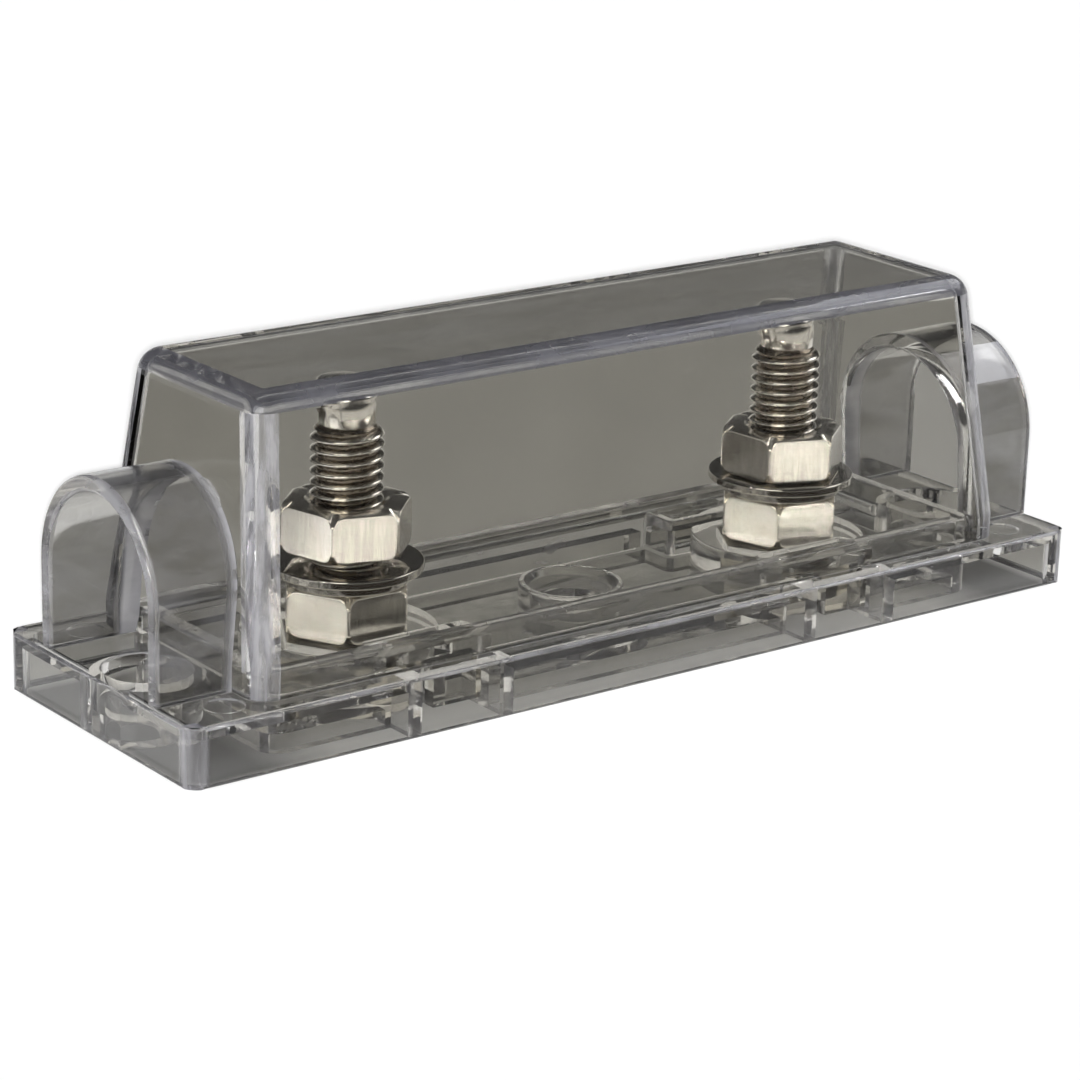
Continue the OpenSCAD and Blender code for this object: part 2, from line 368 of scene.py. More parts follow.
def grid_mesh(name, grid, wrap_rows):
    """Closed mesh over a grid of points whose columns run round a loop.
    Each cell is one quad; the rows either close on themselves or end in flat caps."""
    rows, cols = grid.shape[:2]
    row = np.arange(rows if wrap_rows else rows - 1)[:, None] * cols
    col = np.arange(cols)[None, :]
    next_row = (row + cols) % (rows * cols)
    next_col = (col + 1) % cols
    quads = np.stack([row + col, row + next_col, next_row + next_col, next_row + col], -1)
    faces = quads.reshape(-1, 4).tolist()
    if not wrap_rows:
        faces.append(list(range(cols))[::-1])
        faces.append(list(range((rows - 1) * cols, rows * cols)))
    mesh = bpy.data.meshes.new(name)
    mesh.from_pydata(grid.reshape(-1, 3).tolist(), [], faces)
    bm = bmesh.new()
    bm.from_mesh(mesh)
    bmesh.ops.recalc_face_normals(bm, faces=bm.faces[:])
    bm.to_mesh(mesh)
    bm.free()
    mesh.update()
    return mesh


def face_arrays(mesh):
    """Normal, centre and area of every face."""
    count = len(mesh.polygons)
    normal, centre, area = np.empty(count * 3), np.empty(count * 3), np.empty(count)
    mesh.polygons.foreach_get("normal", normal)
    mesh.polygons.foreach_get("center", centre)
    mesh.polygons.foreach_get("area", area)
    return normal.reshape(-1, 3), centre.reshape(-1, 3), area


def edge_middles(mesh):
    """Middle of every edge."""
    ends = np.empty(len(mesh.edges) * 2, np.int64)
    mesh.edges.foreach_get("vertices", ends)
    points = np.empty(len(mesh.vertices) * 3)
    mesh.vertices.foreach_get("co", points)
    return points.reshape(-1, 3)[ends.reshape(-1, 2)].mean(axis=1)


def edge_faces(mesh):
    """The first and the second face at every edge of a closed shell."""
    loop_edge = np.empty(len(mesh.loops), np.int64)
    mesh.loops.foreach_get("edge_index", loop_edge)
    if len(loop_edge) != 2 * len(mesh.edges):
        raise RuntimeError(mesh.name + " is not a closed shell")
    sides = np.empty(len(mesh.polygons), np.int64)
    mesh.polygons.foreach_get("loop_total", sides)
    owner = np.repeat(np.arange(len(sides)), sides)[np.argsort(loop_edge, kind="stable")]
    return owner[0::2], owner[1::2]


def round_edges(obj, width, weights=None, least=30.0, segments=3, slot=-1):
    """Smooth shading, with the outer corners that turn by more than least degrees rounded by a Bevel
    modifier. Weights, one for each edge from 0 to 1, scale the width, and slot is the rounding's material. A
    corner is an inner one where the second face's centre lies in front of the first face. Shading also
    breaks between a large flat face and a small facet, so that the large face stays flat."""
    mesh = obj.data
    normal, centre, area = face_arrays(mesh)
    first, second = edge_faces(mesh)
    turns = np.degrees(np.arccos(np.clip(np.sum(normal[first] * normal[second], axis=1), -1.0, 1.0)))
    inner = np.sum(normal[first] * (centre[second] - centre[first]), axis=1) > 0.0
    larger, smaller = np.maximum(area[first], area[second]), np.minimum(area[first], area[second])
    border = (turns > 0.6) & (larger > 8.0 * MM * MM) & (smaller < 0.35 * larger)
    weight = np.where((turns > least) & ~inner, 1.0 if weights is None else weights, 0.0)
    layer = mesh.attributes.new("bevel_weight_edge", "FLOAT", "EDGE")
    layer.data.foreach_set("value", weight.astype(np.float32))
    mesh.polygons.foreach_set("use_smooth", np.ones(len(mesh.polygons), bool))
    layer = mesh.attributes.new("sharp_edge", "BOOLEAN", "EDGE")
    layer.data.foreach_set("value", (turns > least) | border)
    bevel = obj.modifiers.new("edges", "BEVEL")
    bevel.limit_method = "WEIGHT"
    bevel.width = width
    bevel.segments = segments
    bevel.use_clamp_overlap = False
    bevel.loop_slide = False
    bevel.harden_normals = True
    bevel.material = slot
    mesh.update()


def merged_copy(node, name):
    """Copy of a node's triangles, welded, cut along planes through the middles of its holes, and with flat
    neighbours joined up to those cuts, so that no joined face has a hole and its edges can be rounded."""
    weld = 0.002 * MM
    bm = bmesh.new()
    bm.from_mesh(frame["nodes"][node].data)
    bmesh.ops.remove_doubles(bm, verts=bm.verts[:], dist=weld)
    planes = [((0.0, 0.0, 0.0), (0.0, 1.0, 0.0))]
    planes += [((x * MM, 0.0, 0.0), (1.0, 0.0, 0.0)) for x in HOLE_PLACES]
    for place, normal in planes:
        whole = bm.verts[:] + bm.edges[:] + bm.faces[:]
        cut = bmesh.ops.bisect_plane(bm, geom=whole, dist=weld, plane_co=place, plane_no=normal)
        for part in cut["geom_cut"]:
            if isinstance(part, bmesh.types.BMEdge):
                part.seam = True
    bmesh.ops.dissolve_limit(
        bm, angle_limit=math.radians(0.4), verts=bm.verts[:], edges=bm.edges[:], delimit={"SEAM"})
    mesh = bpy.data.meshes.new(name)
    bm.to_mesh(mesh)
    bm.free()
    if "custom_normal" in mesh.attributes:
        mesh.attributes.remove(mesh.attributes["custom_normal"])
    return put_in_scene(name, mesh)


def finish_piece(obj, body, node, slot, *materials):
    """Give a piece its materials, hang it on its body and hide the solid that it stands for."""
    for material in materials:
        obj.data.materials.append(material)
    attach(obj, body)
    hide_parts(node)


def hex_radius(theta):
    """Distance from the axis to a hexagon's side at each angle: half the width over the cosine
    of the angle from the nearest side's middle."""
    sector = math.pi / 3
    off = theta % sector - sector / 2
    return FLATS / 2 / np.cos(off)


def loop_points(radius, theta, height):
    """Points at a radius and height round the axis; the three arrays broadcast together."""
    radius, theta, height = np.broadcast_arrays(radius, theta, height)
    return np.stack([radius * np.cos(theta), radius * np.sin(theta), height], -1)


class HOLDER_OT_mouldings(bpy.types.Operator):
    """Make the clear base and cover from the solids, with rounded edges"""

    bl_idname = "holder.mouldings"
    bl_label = "Base and cover"

    def execute(self, context):
        settings = context.scene.holder_plastic
        base = merged_copy("base", "base_moulding")
        self.shape_base(base, settings.base_edge)
        finish_piece(base, "base_body", "base", "base_plastic", *self.base_finishes(settings))
        cover = merged_copy("cover", "cover_moulding")
        self.shape_cover(cover, settings.cover_edge)
        finish_piece(cover, "cover_body", "cover", "cover_plastic", *self.cover_finishes(settings))
        return {"FINISHED"}

    def base_finishes(self, settings):
        """The base's materials: skin, edge, wall, corner and tray."""
        tint = settings.base_tint
        return (
            # The base's solid corner posts show more of the skin, a painted sheen.
            clear_plastic("smoky_clear_base", settings, tint, (0.0, 0.04), 0.5,
                          (0.30, 0.30, 0.355), posts=(59.8 * MM, 16.5 * MM)),
            # The base's edges darken towards the foot: painted shade.
            clear_plastic("pale_base_edge", settings, tint, (0.08, 0.36), 0.6, foot=0.5 * MM),
            # Walls, corners and the tray's floor carry a pale skin of painted sheen.
            clear_plastic("sheen_base_wall", settings, tint, (0.06, 0.28), 0.5),
            clear_plastic("sheen_base_corner", settings, tint, (0.15, 0.55), 0.6,
                          (0.46, 0.455, 0.485), (9.0, 9.0, 0.8)),
            clear_plastic("sheen_tray", settings, tint, (0.04, 0.34), 0.5,
                          (0.50, 0.49, 0.46), (3.0, 3.0, 3.0)))

    def cover_finishes(self, settings):
        """The cover's materials: skin, edge, corner, brow, arch and roof."""
        tint, lighter_tint = settings.cover_tint, settings.base_tint
        # The arch's plastic is darker than the rest of the cover: painted shade.
        shaded_arch_tint = tuple(0.66 * c for c in tint)
        return (
            clear_plastic("smoky_clear_cover", settings, tint, (0.0, 0.0), 0.12),
            # The cover's edges, corners and brow take the base's lighter tint, a painted lighter copy of the
            # cover's plastic, with a pale skin of painted sheen.
            clear_plastic("pale_cover_edge", settings, lighter_tint, (0.08, 0.30), 0.6),
            clear_plastic("sheen_cover_corner", settings, lighter_tint, (0.12, 0.50), 0.6,
                          (0.62, 0.615, 0.655), (9.0, 9.0, 0.4)),
            # The brow's dark slate skin is painted shade.
            clear_plastic("slate_sheen_cover_brow", settings, lighter_tint, (0.35, 0.65), 0.6, settings.brow_tint),
            # The arch's joint with the end wall carries a painted glint.
            clear_plastic("darkened_cover_arch", settings, shaded_arch_tint, (0.0, 0.13), 0.9, seam=(52.96 * MM, 0.07)),
            # The roof's streaked pale skin is painted sheen.
            clear_plastic("sheen_cover_roof", settings, tint, (0.01, 0.10), 0.12,
                          (0.60, 0.60, 0.57), (0.7, 2.0, 1.0)))

    def shape_base(self, obj, width):
        """Full rounding round the outside and the rim and less in the tray. The rim's top, the round marks'
        walls and the middle boss take the edge material, the tray's long walls and the cross walls under the
        plate the wall material, the outer corners the corner material and the tray's floor one of its own.
        All of them carry a pale skin of painted sheen."""
        edge = high("base")
        corner_size, boss_radius = 3.0 * MM, 6.3 * MM
        tray_low, tray_high = 3.0 * MM, 4.0 * MM
        lip_inside, lip_outside = 10.0 * MM, 14.2 * MM
        x, y, z = np.abs(edge_middles(obj.data)).T
        outside = (x > edge[0] - NEAR) | (y > edge[1] - NEAR)
        weight = np.where(outside | (z > edge[2] - NEAR), 1.0, 0.5)
        weight[self.in_mark(x, y, z) | ((z < NEAR) & ~outside)] = 0.0
        normal, centre = face_arrays(obj.data)[:2]
        nx, ny, nz = np.abs(normal).T
        x, y, z = np.abs(centre).T
        upright = nz < 0.5
        rim = ~upright & (z > edge[2] - NEAR)
        mark = upright & self.in_mark(x, y, z)
        boss = upright & (np.hypot(x, y) < boss_radius)
        wall = upright & (nx > 0.5) & (x < edge[0] - corner_size) & (z < BASE_TOP)
        lip = upright & (ny > 0.5) & (y > lip_inside) & (y < lip_outside) & (z > tray_low)
        bent = upright & (np.minimum(nx, ny) > 0.12)
        corner = bent & (x > edge[0] - corner_size) & (y > edge[1] - corner_size)
        tray = (normal[:, 2] > 0.9) & (z > tray_low) & (z < tray_high)
        index = np.select([rim | mark | boss, corner, wall | lip, tray], [1, 3, 2, 4], 0)
        obj.data.polygons.foreach_set("material_index", index.astype(np.int32))
        round_edges(obj, width, weight, slot=1)

    def in_mark(self, x, y, z):
        """Whether points, without their signs, lie in a round mark of the end shelves."""
        return (np.hypot(x - MARK_X, y - MARK_Y) < MARK_R) & (z > MARK_FOOT)

    def shape_cover(self, obj, width):
        """Full rounding at the arches, less at the foot, and the foot lifted clear of the base. The upright
        corners, the arches, the rounded upper edges, the arches' mouths and the roof take their own
        materials."""
        mesh = obj.data
        foot_gap, foot_end = 0.04 * MM, 49.0 * MM
        roof_end, arch_start, box_end = 49.5 * MM, 51.0 * MM, 52.2 * MM
        points = np.empty(len(mesh.vertices) * 3)
        mesh.vertices.foreach_get("co", points)
        points = points.reshape(-1, 3)
        foot = np.abs(points[:, 2] - BASE_TOP) < 0.1 * NEAR
        points[foot, 2] += foot_gap
        mesh.vertices.foreach_set("co", points.ravel())
        mesh.update()
        edge = high("cover")
        middle = edge_middles(mesh)
        at_foot = middle[:, 2] < BASE_TOP + 0.5 * MM
        weight = np.where(at_foot, 0.4, 1.0)
        inside = np.abs(middle[:, 1]) < edge[1] - NEAR
        weight[at_foot & inside & (np.abs(middle[:, 0]) < foot_end)] = 0.0
        normal, centre = face_arrays(mesh)[:2]
        nx, ny, nz = np.abs(normal).T
        out = np.abs(centre[:, 0])
        corner = (nx > 0.05) & (ny > 0.05) & (nz < 0.35) & (out < box_end)
        brow = (nz > 0.2) & (nz < 0.985) & ((out < roof_end) | (nx > 0.12))
        mouth = (nx > 0.9) & (out > edge[0] - NEAR)
        arch = (nx < 0.12) & (out > arch_start)
        roof = (normal[:, 2] > 0.985) & (centre[:, 2] > edge[2] - 1.0 * MM)
        index = np.select([corner, arch, brow, mouth, roof], [2, 4, 3, 1, 5], 0)
        mesh.polygons.foreach_set("material_index", index.astype(np.int32))
        round_edges(obj, width, weight, slot=1)


class HOLDER_OT_studs(bpy.types.Operator):
    """Make the two threaded studs with their hex heads"""

    bl_idname = "holder.studs"
    bl_label = "Studs"

    def execute(self, context):
        settings = context.scene.holder_metal
        material = plated_metal("bright_thread", settings, (500.0, 500.0, 2500.0), 0.10, True)
        for side in SIDES:
            points = self.grid(side, settings)
            mesh = grid_mesh(side + "_bolt", points, False)
            away = np.hypot(points[..., 0] - SIDE_SIGN[side] * STUD_X, points[..., 1]).ravel()
            deep = np.clip((CREST - away) / settings.thread_depth, 0.0, 1.0)
            # Thread roots darken with depth and the tip a little, as painted shade.
            hollow = np.where(points[..., 2].ravel() < THREAD_END, deep, 0.2)
            layer = mesh.attributes.new("hollow", "FLOAT", "POINT")
            layer.data.foreach_set("value", hollow.astype(np.float32))
            obj = put_in_scene(side + "_bolt", mesh)
            mesh.polygons.foreach_set("use_smooth", np.ones(len(mesh.polygons), bool))
            mesh.set_sharp_from_angle(angle=math.radians(50))
            finish_piece(obj, "base_body", side + "_stud", "stud_metal", material)
        return {"FINISHED"}

    def grid(self, side, settings):
        """Rows of rings from the head's underside to the tip. The thread's radius is the crest less a
        depth that depends on the height less the pitch times the turn, with flat crests and round roots."""
        cols = 96
        theta = np.arange(cols) * 2 * math.pi / cols
        pitch, head_top = settings.pitch, BASE_TOP - 1.62 * MM
        dog, waist, bevel = 3.1 * MM, 3.05 * MM, 0.5 * MM
        face = 6.17 * MM
        hexagon = hex_radius(theta)
        drop = (hexagon - face) * math.tan(math.radians(40))
        ring = np.zeros(cols)
        rows = [(ring + 1.0 * MM, ring + STUD_FOOT), (ring + face, ring + STUD_FOOT),
                (hexagon, STUD_FOOT + drop), (hexagon, ring + head_top), (ring + CREST, ring + head_top)]
        height = np.arange(head_top + 0.05 * MM, THREAD_END, pitch / 20)[:, None] + ring[None, :]
        phase = (height / pitch - theta[None, :] / (2 * math.pi) + 0.5) % 1.0 - 0.5
        fall = np.clip((np.abs(phase) - 0.07) / 0.33, 0.0, 1.0)
        fall = 0.75 * fall + 0.25 * fall * fall * (3 - 2 * fall)
        thread = CREST - settings.thread_depth * fall
        lead = waist + (THREAD_END - height) * 0.9
        thread = np.maximum(np.minimum(thread, lead), waist)
        rows += list(zip(thread, height))
        tip = ((waist, THREAD_END), (dog, THREAD_END + 0.1 * MM), (dog, STUD_TIP - bevel),
               (dog - 0.8 * bevel, STUD_TIP - 0.15 * bevel), (dog - 1.3 * bevel, STUD_TIP),
               (0.5 * MM, STUD_TIP))
        rows += [(ring + radius, ring + level) for radius, level in tip]
        radius = np.array([row[0] for row in rows])
        level = np.array([row[1] for row in rows])
        points = loop_points(radius, theta[None, :], level)
        points[..., 0] += SIDE_SIGN[side] * STUD_X
        return points


class HOLDER_OT_nuts(bpy.types.Operator):
    """Make the four hex nuts with trimmed corners and bevelled bores"""

    bl_idname = "holder.nuts"
    bl_label = "Nuts"

    turns = {"left_base_nut": 58.0, "right_base_nut": 49.0, "left_top_nut": 44.0, "right_top_nut": 38.0}

    def execute(self, context):
        settings = context.scene.holder_metal
        material = plated_metal("bright_nut", settings, (2600.0, 2600.0, 160.0), 0.16)
        for node, turn in self.turns.items():
            mesh = grid_mesh(node + "_hex", self.grid(node, turn, settings.nut_edge), True)
            obj = put_in_scene(node + "_hex", mesh)
            mesh.polygons.foreach_set("use_smooth", np.ones(len(mesh.polygons), bool))
            mesh.set_sharp_from_angle(angle=math.radians(22))
            body = node.split("_")[0] + "_nut_body" if "top" in node else "base_body"
            finish_piece(obj, body, node, "nut_metal", material)
        return {"FINISHED"}

    def grid(self, node, turn, edge):
        """Rings from the bore's foot out over the lower face, up the hexagon and back down the bore.
        A side is a rectangle with round corners: its end drops by a quarter circle in the distance from the
        rounded upright edge. Edges are rounded along a parabola between two points beside each corner."""
        theta, hexagon, near = self.hex_loop(math.radians(turn))
        foot, top = float(low(node)[2]) + LIFT, float(high(node)[2])
        flare, face, bow, trim = 0.5 * MM, 6.1 * MM, 1.05 * MM, 0.18 * MM
        past = np.clip(bow - near, 0.0, bow)
        drop = trim + bow - np.sqrt(bow * bow - past * past)
        ring = np.zeros(len(theta))
        lower, upper = np.stack([hexagon, foot + drop]), np.stack([hexagon, top - drop])
        in_low, in_top = np.stack([ring + face, ring + foot]), np.stack([ring + face, ring + top])
        inset = np.stack([ring, ring + edge + 0.05 * MM])
        rows = [(ring + BORE, ring + foot + flare), (ring + BORE + flare, ring + foot), in_low]
        rows += self.rounded(in_low, lower, upper, edge) + [lower + inset, upper - inset]
        rows += self.rounded(lower, upper, in_top, edge)
        rows += [in_top, (ring + BORE + flare, ring + top), (ring + BORE, ring + top - flare)]
        radius = np.array([row[0] for row in rows])
        level = np.array([row[1] for row in rows])
        points = loop_points(radius, theta[None, :], level)
        points[..., 0] += SIDE_SIGN[node.split("_")[0]] * STUD_X
        return points

    def rounded(self, before, corner, after, edge):
        """Rows along a parabola from a point an edge's width before a corner to one as far after it."""
        first = before - corner
        last = after - corner
        first = corner + first * (edge / np.hypot(*first))
        last = corner + last * (edge / np.hypot(*last))
        steps = np.linspace(0.0, 1.0, 6)
        return [(1 - t) ** 2 * first + 2 * t * (1 - t) * corner + t * t * last for t in steps]

    def hex_loop(self, turn):
        """Angle and radius of points round a hexagon with rounded upright edges, closer together near the
        edges, and each point's distance along its side from the rounding."""
        fillet = 0.45 * MM
        half, reach = FLATS / 2 * math.tan(math.pi / 6), fillet * math.tan(math.pi / 6)
        side = (half - reach) * np.sin(np.linspace(-math.pi / 2, math.pi / 2, 17))
        bend = np.linspace(0.0, math.pi / 3, 8)[1:-1]
        centre = (half / math.sin(math.pi / 6) - fillet / math.cos(math.pi / 6)) * np.exp(1j * math.pi / 6)
        sector = np.concatenate([FLATS / 2 + 1j * side, centre + fillet * np.exp(1j * bend)])
        near = np.concatenate([half - reach - np.abs(side), 0.0 * bend])
        steps = turn + math.pi / 6 + np.arange(6) * math.pi / 3
        loop = (np.exp(1j * steps)[:, None] * sector[None, :]).ravel()
        return np.angle(loop), np.abs(loop), np.tile(near, 6)


class HOLDER_OT_washers(bpy.types.Operator):
    """Make the plain washers and the split spring washers"""

    bl_idname = "holder.washers"
    bl_label = "Washers"

    def execute(self, context):
        settings = context.scene.holder_metal
        # The washers' plating is dimmed to 0.72 of the nickel: painted shade.
        material = plated_metal("bright_washer", settings, (900.0, 900.0, 900.0), 0.06, level=0.72)
        for side in SIDES:
            for kind in ("flat", "lock"):
                node = side + "_" + kind + "_washer"
                mesh = grid_mesh(node + "_ring", self.grid(node, side, kind == "lock"), kind == "flat")
                obj = put_in_scene(node + "_ring", mesh)
                round_edges(obj, settings.washer_edge)
                finish_piece(obj, "base_body", node, "washer_metal", material)
        return {"FINISHED"}

    def grid(self, node, side, split):
        """A four-cornered section carried round the axis: the whole way for a plain washer, and for a
        split one up to its slanting gap at both ends."""
        stations = 120
        lowest, highest = low(node), high(node)
        foot, top = float(lowest[2]) + LIFT, float(highest[2]) - LIFT
        outer = float(highest[1])
        if split:
            gap, slant = 0.5 * MM, math.tan(math.radians(20)) * (top - foot) / 2
            step = np.linspace(0.0, 1.0, stations)[:, None]
            radius = np.array([BORE, outer, outer, BORE])[None, :]
            level = np.array([foot, foot, top, top])[None, :]
            lean = np.array([-slant, -slant, slant, slant])[None, :]
            start = math.radians(75) + (gap - lean) / radius
            end = math.radians(75 + 360) - (gap + lean) / radius
            theta = start + (end - start) * step
        else:
            theta = (np.arange(stations) * 2 * math.pi / stations)[None, :]
            radius = np.array([BORE, outer, outer, BORE])[:, None]
            level = np.array([foot, foot, top, top])[:, None]
        points = loop_points(radius, theta, level)
        points[..., 0] += SIDE_SIGN[side] * STUD_X
        return points


class HOLDER_OT_stage(bpy.types.Operator):
    """Set the pale floor, the lamps, the room's light and the camera"""

    bl_idname = "holder.stage"
    bl_label = "Stage"

    eye = (-0.23823, -0.3017, 0.13459)
    azimuth, elevation, roll = -37.83, 17.85, 1.62
    # Name, place along X and Y, width and depth in millimetres, and brightness
    cards = (
        ("front_left_card", -49.5, -62.0, 61.0, 44.0, 1.3),
        ("front_right_card", 47.5, -58.0, 65.0, 50.0, 1.45),
        ("left_card", -75.0, 6.0, 50.0, 40.0, 0.65),
        ("middle_card", -4.0, 1.0, 26.0, 16.0, 0.9),
        ("back_card", 15.0, 64.0, 120.0, 40.0, 1.2))

    def execute(self, context):
        settings = context.scene.holder_stage
        context.scene.view_settings.view_transform = "Standard"
        context.scene.cycles.max_bounces = 20
        context.scene.cycles.transmission_bounces = 16
        context.scene.cycles.glossy_bounces = 16
        context.scene.cycles.sample_clamp_indirect = 0.0
        back = self.camera(context, settings)
        floor = self.floor(settings)
        self.flag("front_flag", ((-0.04, -0.10), (0.16, -0.10)), 0.045)
        self.room(context, settings)
        self.light_floor(settings, floor, back)
        self.light_part(floor)
        return {"FINISHED"}

    def camera(self, context, settings):
        """Camera at the photograph's place; returns the direction from the object to it."""
        azimuth, elevation, roll = (math.radians(v) for v in (self.azimuth, self.elevation, self.roll))
        level = math.cos(elevation)
        back = Vector((math.sin(azimuth) * level, -math.cos(azimuth) * level, math.sin(elevation)))
        right = Vector((math.cos(azimuth), math.sin(azimuth), 0.0))
        up = back.cross(right)
        across = right * math.cos(roll) + up * math.sin(roll)
        above = up * math.cos(roll) - right * math.sin(roll)
        data = bpy.data.cameras.new("camera")
        data.lens = settings.lens
        data.sensor_width = 36.0
        data.clip_start = 0.01
        data.clip_end = 20.0
        obj = bpy.data.objects.new("camera", data)
        context.scene.collection.objects.link(obj)
        turn = Matrix((across, above, back)).transposed().to_4x4()
        obj.matrix_world = Matrix.Translation(self.eye) @ turn
        context.scene.camera = obj
        return back

    def floor(self, settings):
        """Large flat floor just under the part."""
        half, level = 3.0, -0.2 * MM
        mesh = bpy.data.meshes.new("floor")
        corners = [(x * half, y * half, level) for x, y in ((-1, -1), (1, -1), (1, 1), (-1, 1))]
        mesh.from_pydata(corners, [], [(0, 1, 2, 3)])
        obj = put_in_scene("floor", mesh)
        mesh.materials.append(self.floor_material(settings))
        return obj

    def floor_material(self, settings):
        """Pale and matt, with a painted shadow under the base, darkest under its ends, and a painted pool of
        light under the tray. In mirror light it glows white under the base and is dark in a patch in front
        and
        one behind: painted reflections that only mirror light sees."""
        material, tree = new_material("pale_floor")
        x, y = tree.axes()[:2]

        def patch(across, along, half_wide, half_deep, soft):
            """1 inside a rectangle with soft edges, 0 outside it."""
            return ((half_wide - (x - across).size()) / soft).band(0.0, 1.0) * (
                (half_deep - (y - along).size()) / soft).band(0.0, 1.0)

        base_wide, base_deep = (float(reach) for reach in high("base")[:2])
        under = patch(0.0, 0.0, base_wide, base_deep, 3 * MM)
        shade = tree.noise(tree.place(), 30.0, 3.0)
        pale, paler, dim, dark, bright = (
            rgba(settings.floor_colour, share) for share in (1.0, 1.01, 0.76, 0.25, 1.08))
        # Painted shadow under the base, darkest under its ends, and a painted pool of light under the tray.
        under_shade = tree.blend(x.size().band(42 * MM, 52 * MM), dim, dark)
        under_shade = tree.blend(patch(0.0, 9 * MM, 44 * MM, 13 * MM, 4 * MM), under_shade, bright)
        shader = tree.add("ShaderNodeBsdfDiffuse", None, {
            "Color": tree.blend(under, tree.blend(shade, pale, paler), under_shade), "Roughness": 0.0})
        # Painted reflections: in mirror light the floor glows white under the base and is dark in front and
        # behind.
        mirrored = tree.wire(tree.add("ShaderNodeLightPath"), "Glossy Depth").band(0.0, 1.0)
        dark_reflection = (0.05, 0.045, 0.04, 1.0)
        front = patch(0.0, -55 * MM, 95 * MM, 33 * MM, 5 * MM)
        behind = ((y + 0.62 * x - 4 * MM) / (5 * MM)).band(0.0, 1.0)
        behind = behind * patch(-170 * MM, 120 * MM, 180 * MM, 98 * MM, 5 * MM)
        for mask, colour in ((under, (0.9, 0.88, 0.84, 1.0)), (behind, dark_reflection), (front, dark_reflection)):
            glow = tree.add("ShaderNodeEmission", None, {"Color": colour, "Strength": 1.0})
            shader = tree.add("ShaderNodeMixShader", None, {
                0: mirrored * mask, 1: shader.outputs[0], 2: glow.outputs[0]})
        tree.close(shader)
        return material

    def flag(self, name, ends, tall):
        """Upright dark card that only reflections see, so that the clear walls stay clear."""
        (x0, y0), (x1, y1) = ends
        mesh = bpy.data.meshes.new(name)
        mesh.from_pydata([(x0, y0, 0.0), (x1, y1, 0.0), (x1, y1, tall), (x0, y0, tall)], [], [(0, 1, 2, 3)])
        obj = put_in_scene(name, mesh)
        material, tree = new_material("dark_card")
        shade = tree.noise(tree.place(), 60.0, 2.0)
        tree.close(tree.add("ShaderNodeBsdfDiffuse", None, {
            "Color": tree.blend(shade, (0.03, 0.028, 0.025, 1.0), (0.05, 0.047, 0.042, 1.0))}))
        mesh.materials.append(material)
        for ray in ("camera", "diffuse", "transmission", "shadow"):
            setattr(obj, "visible_" + ray, False)

    def room(self, context, settings):
        """Even light from all round, white along the horizon."""
        world = bpy.data.worlds.new("room")
        world.use_nodes = True
        tree = Tree(world.node_tree)
        coords = tree.add("ShaderNodeTexCoord")
        split = tree.add("ShaderNodeSeparateXYZ", None, {0: coords.outputs["Generated"]})
        rise = tree.wire(split, 2).band(0.06, 0.18)
        level = settings.room_level
        colour = tree.blend(rise, (1.0, 1.0, 1.0, 1.0), (level, level, level * 1.02, 1.0))
        tree.close(tree.add("ShaderNodeBackground", None, {"Color": colour, "Strength": 1.0}), "World")
        context.scene.world = world

    def light_floor(self, settings, floor, back):
        """Two lamps that light only the floor: a small one at the camera, so that the part hides its own
        shadow, and an even one that gives the shadow its colour."""
        only_floor = bpy.data.collections.new("only_floor")
        only_floor.objects.link(floor)
        place = Vector(self.eye) + back * 4 * MM
        data = bpy.data.lights.new("floor_lamp", "POINT")
        data.energy = 4 * math.pi * math.pi
        data.shadow_soft_size = 3 * MM
        data.use_nodes = True
        tree = Tree(data.node_tree)
        white = settings.floor_colour[0]
        falloff = tree.add("ShaderNodeLightFalloff", None, {"Strength": 1.0 / (white * place.z)})
        path = tree.add("ShaderNodeLightPath")
        shader = tree.add("ShaderNodeEmission", None, {
            "Color": tuple(1.0 - c for c in settings.shade_colour) + (1.0,),
            "Strength": tree.wire(falloff, "Constant") * tree.wire(path, "Ray Length")})
        tree.close(shader, "Light")
        lamp = bpy.data.objects.new("floor_lamp", data)
        lamp.location = place
        self.hang(lamp, only_floor)
        data = bpy.data.lights.new("floor_fill", "SUN")
        data.energy = math.pi / white
        data.color = tuple(max(c - settings.room_level, 0.0) for c in settings.shade_colour)
        data.use_shadow = False
        self.hang(bpy.data.objects.new("floor_fill", data), only_floor)

    def light_part(self, floor):
        """Two soft lamps that light all but the floor, and boxes above and cards below that light only
        the metal and are hidden from it only by other metal."""
        not_floor = bpy.data.collections.new("not_floor")
        not_floor.objects.link(floor)
        not_floor.collection_objects[0].light_linking.link_state = "EXCLUDE"
        self.softbox("key_box", (-0.50, -0.30, 0.42), 0.50, 0.30, 7.0, (1.0, 1.0, 1.0), not_floor)
        self.softbox("side_box", (0.60, -0.10, 0.50), 0.50, 0.30, 5.0, (0.93, 0.94, 1.0), not_floor)
        metal, lit = bpy.data.collections.new("metal"), bpy.data.collections.new("lit_metal")
        for obj in bpy.context.scene.objects:
            if obj.name.endswith(("_bolt", "_hex", "_ring")):
                metal.objects.link(obj)
            if obj.name.endswith(("_bolt", "_hex")):
                lit.objects.link(obj)
        cream = (1.0, 0.965, 0.90)
        boxes = [self.softbox("top_left_box", (-0.10, 0.12, 0.70), 0.30, 0.35, 1.3, cream, metal),
                 self.softbox("top_right_box", (0.31, 0.12, 0.66), 0.20, 0.35, 1.0, cream, metal)]
        for name, x, y, wide, tall, level in self.cards:
            place, aim = (x * MM, y * MM, 0.5 * MM), (x * MM, y * MM, 1.0)
            boxes.append(self.softbox(name, place, wide * MM, tall * MM, level, cream, lit, aim))
        for box in boxes:
            box.light_linking.blocker_collection = metal
            box.data.cycles.use_multiple_importance_sampling = False

    def hang(self, lamp, receivers):
        """Put a lamp in the scene, hidden from the camera, lighting only its receivers."""
        bpy.context.scene.collection.objects.link(lamp)
        lamp.visible_camera = False
        lamp.light_linking.receiver_collection = receivers

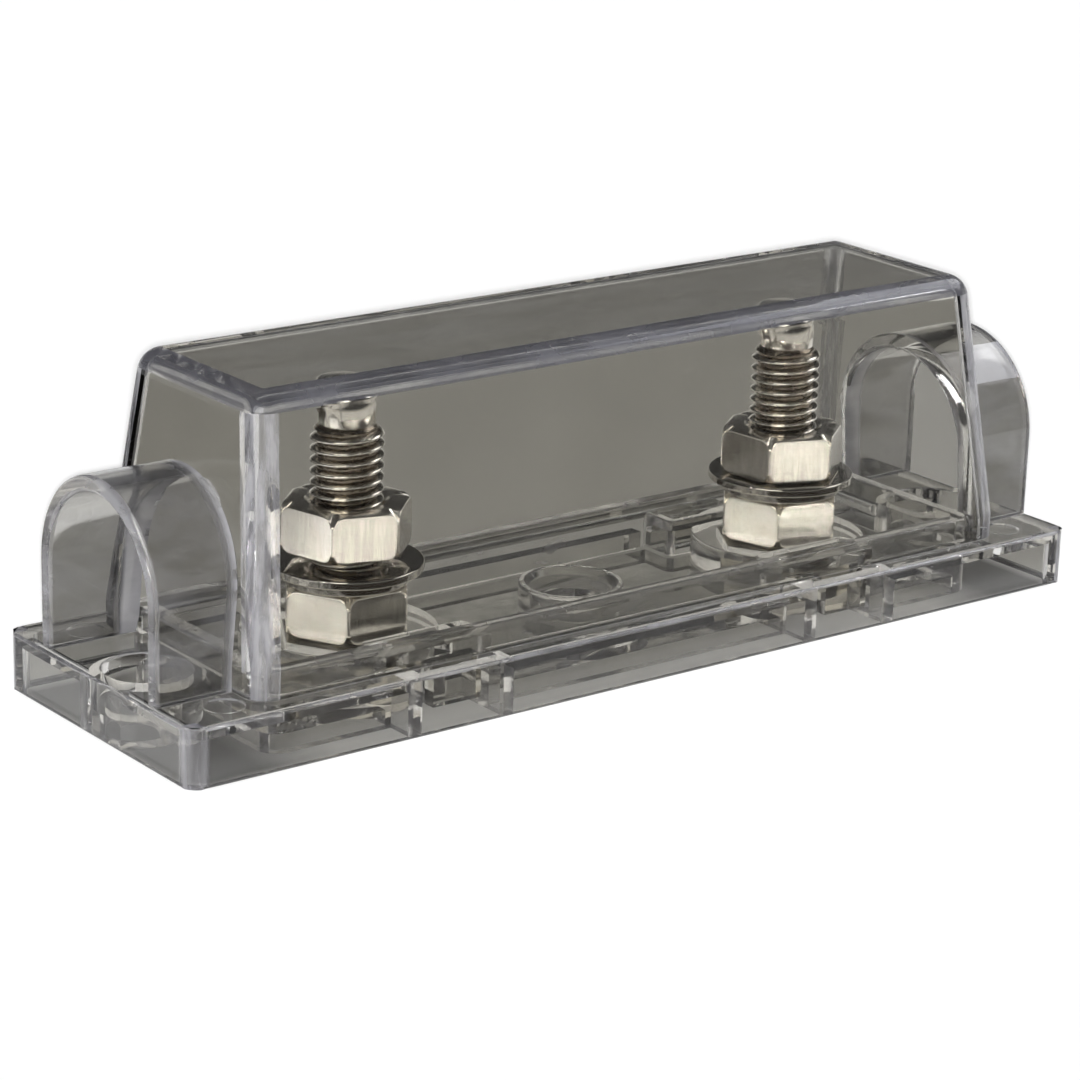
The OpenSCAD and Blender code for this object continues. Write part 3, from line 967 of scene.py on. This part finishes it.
    def softbox(self, name, place, wide, tall, level, colour, receivers, aim=(0.0, 0.0, 0.02)):
        """Rectangular soft lamp that faces the part or another point. Level is its face's brightness."""
        data = bpy.data.lights.new(name, "AREA")
        data.shape = "RECTANGLE"
        data.size, data.size_y = wide, tall
        data.energy = level * wide * tall * math.pi
        data.color = colour
        lamp = bpy.data.objects.new(name, data)
        lamp.location = place
        lamp.rotation_euler = (Vector(place) - Vector(aim)).to_track_quat("Z", "Y").to_euler()
        self.hang(lamp, receivers)
        return lamp


class HOLDER_PT_panel(bpy.types.Panel):
    """List of the steps that dress the fuse holder"""

    bl_idname = "HOLDER_PT_panel"
    bl_label = "Fuse holder"
    bl_space_type = "VIEW_3D"
    bl_region_type = "UI"
    bl_category = "Fuse holder"

    def draw(self, context):
        for group in ("holder_plastic", "holder_metal", "holder_stage"):
            settings = getattr(context.scene, group)
            box = self.layout.box()
            for key in settings.__annotations__:
                box.prop(settings, key)
        for operator in OPERATORS:
            self.layout.operator(operator.bl_idname)


GROUPS = {"holder_plastic": PlasticSettings, "holder_metal": MetalSettings, "holder_stage": StageSettings}
OPERATORS = (HOLDER_OT_mouldings, HOLDER_OT_studs, HOLDER_OT_nuts, HOLDER_OT_washers, HOLDER_OT_stage)


def register():
    """Add the settings to every scene, and the operators and the panel to Blender."""
    for name, group in GROUPS.items():
        bpy.utils.register_class(group)
        setattr(bpy.types.Scene, name, bpy.props.PointerProperty(type=group))
    for cls in OPERATORS + (HOLDER_PT_panel,):
        bpy.utils.register_class(cls)


def unregister():
    """Take away what register added."""
    for cls in (HOLDER_PT_panel,) + OPERATORS[::-1]:
        bpy.utils.unregister_class(cls)
    for name, group in GROUPS.items():
        delattr(bpy.types.Scene, name)
        bpy.utils.unregister_class(group)


def main():
    """Make every piece and the stage."""
    register()
    bpy.ops.holder.mouldings()
    bpy.ops.holder.studs()
    bpy.ops.holder.nuts()
    bpy.ops.holder.washers()
    bpy.ops.holder.stage()


if __name__ == "__main__":
    main()
